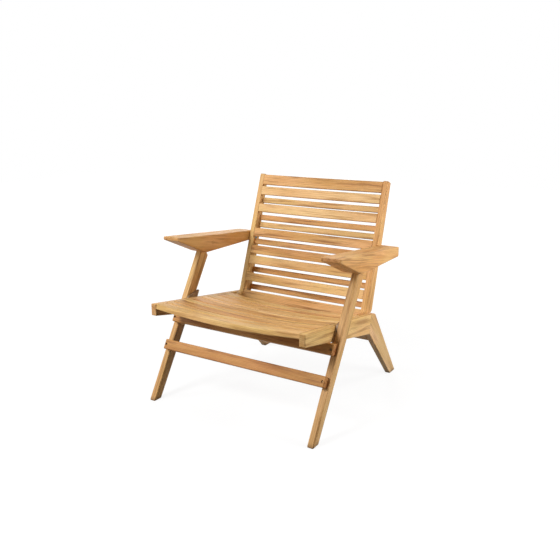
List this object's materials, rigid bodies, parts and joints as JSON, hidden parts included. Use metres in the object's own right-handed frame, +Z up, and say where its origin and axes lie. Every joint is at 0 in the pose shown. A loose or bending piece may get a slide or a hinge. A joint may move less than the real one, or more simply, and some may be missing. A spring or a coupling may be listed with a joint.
{
  "type": "folding armchair",
  "caption": "Low folding slatted wooden armchair: dished seat, slatted back, wedge arms on leaning front legs, and a parallel linkage that folds legs, arms and back flat over the seat.",
  "frame": {"origin": "on the floor, under the middle of the chair's overall box", "axes": "+Z up, the chair faces -Y, +X to the right of someone looking at its front"},
  "size_m": [0.727, 0.7558, 0.7829],
  "materials": {
    "teak": "sanded and oiled teak",
    "steel": "stainless, satin"
  },
  "bodies": {
    "armrest_left": {"arm_bolt_left": "steel", "arm_insert_left": "steel", "arm_plug_left": "teak", "armrest_left": "teak"},
    "armrest_right": {"arm_bolt_right": "steel", "arm_insert_right": "steel", "arm_plug_right": "teak", "armrest_right": "teak"},
    "leg_frame": {"arm_pins": "steel", "front_leg_left": "teak", "front_leg_right": "teak", "leg_inserts": "steel", "leg_pivot_bolts": "steel", "leg_spacer_left": "teak", "leg_spacer_right": "teak", "lower_front_stretcher": "teak", "stretcher_screws": "steel", "upper_front_stretcher": "teak"},
    "back_frame": {"arm_washers": "steel", "back_slat_1": "teak", "back_slat_10": "teak", "back_slat_11": "teak", "back_slat_12": "teak", "back_slat_13": "teak", "back_slat_14": "teak", "back_slat_2": "teak", "back_slat_3": "teak", "back_slat_4": "teak", "back_slat_5": "teak", "back_slat_6": "teak", "back_slat_7": "teak", "back_slat_8": "teak", "back_slat_9": "teak", "back_stile_left": "teak", "back_stile_right": "teak"},
    "seat_frame": {"back_pivot_bolts": "steel", "back_pivot_spacers": "steel", "knee_dowels": "teak", "rail_inserts": "steel", "rear_cross_rail": "teak", "rear_leg_left": "teak", "rear_leg_right": "teak", "seat_slat_1": "teak", "seat_slat_2": "teak", "seat_slat_3": "teak", "seat_slat_4": "teak", "seat_slat_5": "teak", "seat_slat_6": "teak", "seat_slat_7": "teak", "seat_slat_8": "teak", "seat_slat_9": "teak", "side_rail_left": "teak", "side_rail_right": "teak"}
  },
  "joints": [
    {"name": "leg_fold", "type": "hinge", "parent": "seat_frame", "child": "leg_frame", "pos_m": [0, -0.16513, 0.31609], "axis": [1, 0, 0], "range_deg": [0, 95]},
    {"name": "back_fold", "type": "hinge", "parent": "seat_frame", "child": "back_frame", "pos_m": [0, 0.10023, 0.2926], "axis": [1, 0, 0], "range_deg": [0, 95]},
    {"name": "left_arm_fold", "type": "hinge", "parent": "leg_frame", "child": "armrest_left", "pos_m": [0, -0.04233, 0.54559], "axis": [1, 0, 0], "range_deg": [-95, 0]},
    {"name": "right_arm_fold", "type": "hinge", "parent": "leg_frame", "child": "armrest_right", "pos_m": [0, -0.04233, 0.54559], "axis": [1, 0, 0], "range_deg": [-95, 0]}
  ],
  "couplings": [
    {"joint": "back_fold", "follows": "leg_fold", "ratio": 1},
    {"joint": "left_arm_fold", "follows": "leg_fold", "ratio": -1},
    {"joint": "right_arm_fold", "follows": "leg_fold", "ratio": -1}
  ]
}
